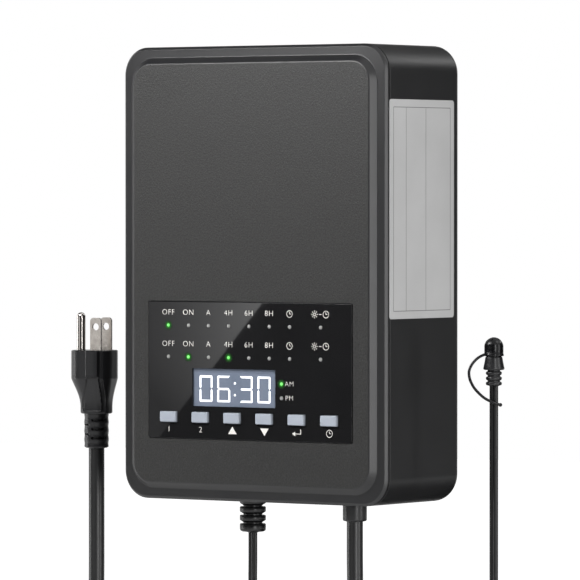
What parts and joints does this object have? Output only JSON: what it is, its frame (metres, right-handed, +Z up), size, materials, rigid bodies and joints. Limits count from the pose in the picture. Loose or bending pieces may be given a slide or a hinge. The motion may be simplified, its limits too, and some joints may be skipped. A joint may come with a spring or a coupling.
{
  "type": "low voltage landscape transformer",
  "caption": "Wall-hung landscape lighting transformer: flat box with a timer panel, push buttons and status lights, a mains lead with plug and a corded light sensor.",
  "frame": {"origin": "on the plane of the box's back, midway between the seats of the two keyhole slots that it hangs on", "axes": "+Z up, +Y out of the back towards the wall, +X to the right of someone who faces the panel"},
  "size_m": [0.2726, 0.0739, 0.4229],
  "materials": {
    "housing_abs": "fine texture",
    "cover_abs": "fine texture",
    "gasket_rubber": "matte",
    "zinc_screws": "zinc plated",
    "label_foil": "matte silver film",
    "panel_gloss": "polished",
    "display_glass": "polished",
    "display_white": "lit",
    "led_green": "lit",
    "led_clear": "diffusing",
    "button_grey": "satin",
    "board_green": "solder mask",
    "part_black": "moulded",
    "header_nylon": "moulded",
    "ribbon_pvc": "smooth",
    "steel_core": "wound strip",
    "enamelled_copper": "enamelled copper",
    "tape_yellow": "polyester tape",
    "pad_rubber": "matte",
    "zinc_steel": "zinc plated",
    "brass_parts": "machined",
    "relay_blue": "moulded",
    "fuse_glass": "clear",
    "tin_plate": "tin plated",
    "capacitor_can": "printed sleeve",
    "clamp_steel": "nickel plated",
    "cord_pvc": "satin",
    "moulded_pvc": "satin",
    "tie_nylon": "smooth",
    "blade_nickel": "nickel plated",
    "pin_chrome": "polished",
    "wire_pvc": "mixed colours"
  },
  "bodies": {
    "box": {"rear_housing": "housing_abs", "front_cover": "cover_abs", "cover_gasket": "gasket_rubber", "cover_screws": "zinc_screws", "panel_overlay": "panel_gloss", "display_module": "display_glass", "display_digits": "display_white", "status_leds_lit": "led_green", "status_leds_dark": "led_clear", "control_board": "board_green", "switch_bases": "part_black", "controller_chip": "part_black", "board_headers": "header_nylon", "ribbon_cable": "ribbon_pvc", "board_screws": "zinc_screws", "toroid_core": "steel_core", "primary_winding": "enamelled_copper", "secondary_winding": "enamelled_copper", "toroid_tape": "tape_yellow", "toroid_pads": "pad_rubber", "toroid_washer": "zinc_steel", "toroid_bolt": "zinc_steel", "toroid_insert": "brass_parts", "power_board": "board_green", "relays": "relay_blue", "thermal_breakers": "part_black", "fuse": "fuse_glass", "fuse_clips": "tin_plate", "filter_capacitor": "capacitor_can", "spade_tabs": "tin_plate", "terminal_block": "part_black", "terminal_contacts": "brass_parts", "lead_bushing": "moulded_pvc", "bushing_nut": "part_black", "sensor_relief": "moulded_pvc", "internal_wires": "wire_pvc", "side_label": "label_foil", "lead_out": "cord_pvc", "lead_coil": "cord_pvc", "lead_to_plug": "cord_pvc", "lead_ties": "tie_nylon", "plug_body": "moulded_pvc", "plug_blades": "blade_nickel", "ground_pin": "pin_chrome", "sensor_cord_out": "cord_pvc", "sensor_coil": "cord_pvc", "sensor_cord_end": "cord_pvc", "sensor_ties": "tie_nylon", "sensor_body": "moulded_pvc"},
    "zone_1_button": {"button_zone_1": "button_grey"},
    "zone_2_button": {"button_zone_2": "button_grey"},
    "up_button": {"button_up": "button_grey"},
    "down_button": {"button_down": "button_grey"},
    "enter_button": {"button_enter": "button_grey"},
    "clock_button": {"button_clock": "button_grey"},
    "terminal_screw_1": {"terminal_clamp_1": "clamp_steel"},
    "terminal_screw_2": {"terminal_clamp_2": "clamp_steel"},
    "terminal_screw_3": {"terminal_clamp_3": "clamp_steel"},
    "terminal_screw_4": {"terminal_clamp_4": "clamp_steel"},
    "sensor_cap_body": {"sensor_cap": "moulded_pvc"}
  },
  "joints": [
    {"name": "zone_1_button_press", "type": "slide", "parent": "box", "child": "zone_1_button", "axis": [0, 1, 0], "range_m": [0, 0.0008], "stiffness_N_per_m": 600},
    {"name": "zone_2_button_press", "type": "slide", "parent": "box", "child": "zone_2_button", "axis": [0, 1, 0], "range_m": [0, 0.0008], "stiffness_N_per_m": 600},
    {"name": "up_button_press", "type": "slide", "parent": "box", "child": "up_button", "axis": [0, 1, 0], "range_m": [0, 0.0008], "stiffness_N_per_m": 600},
    {"name": "down_button_press", "type": "slide", "parent": "box", "child": "down_button", "axis": [0, 1, 0], "range_m": [0, 0.0008], "stiffness_N_per_m": 600},
    {"name": "enter_button_press", "type": "slide", "parent": "box", "child": "enter_button", "axis": [0, 1, 0], "range_m": [0, 0.0008], "stiffness_N_per_m": 600},
    {"name": "clock_button_press", "type": "slide", "parent": "box", "child": "clock_button", "axis": [0, 1, 0], "range_m": [0, 0.0008], "stiffness_N_per_m": 600},
    {"name": "terminal_screw_1_travel", "type": "slide", "parent": "box", "child": "terminal_screw_1", "axis": [0, 0, -1], "range_m": [0, 0.003]},
    {"name": "terminal_screw_2_travel", "type": "slide", "parent": "box", "child": "terminal_screw_2", "axis": [0, 0, -1], "range_m": [0, 0.003]},
    {"name": "terminal_screw_3_travel", "type": "slide", "parent": "box", "child": "terminal_screw_3", "axis": [0, 0, -1], "range_m": [0, 0.003]},
    {"name": "terminal_screw_4_travel", "type": "slide", "parent": "box", "child": "terminal_screw_4", "axis": [0, 0, -1], "range_m": [0, 0.003]},
    {"name": "sensor_cap_lift", "type": "slide", "parent": "box", "child": "sensor_cap_body", "axis": [0, 0, 1], "range_m": [0, 0.0065]}
  ]
}
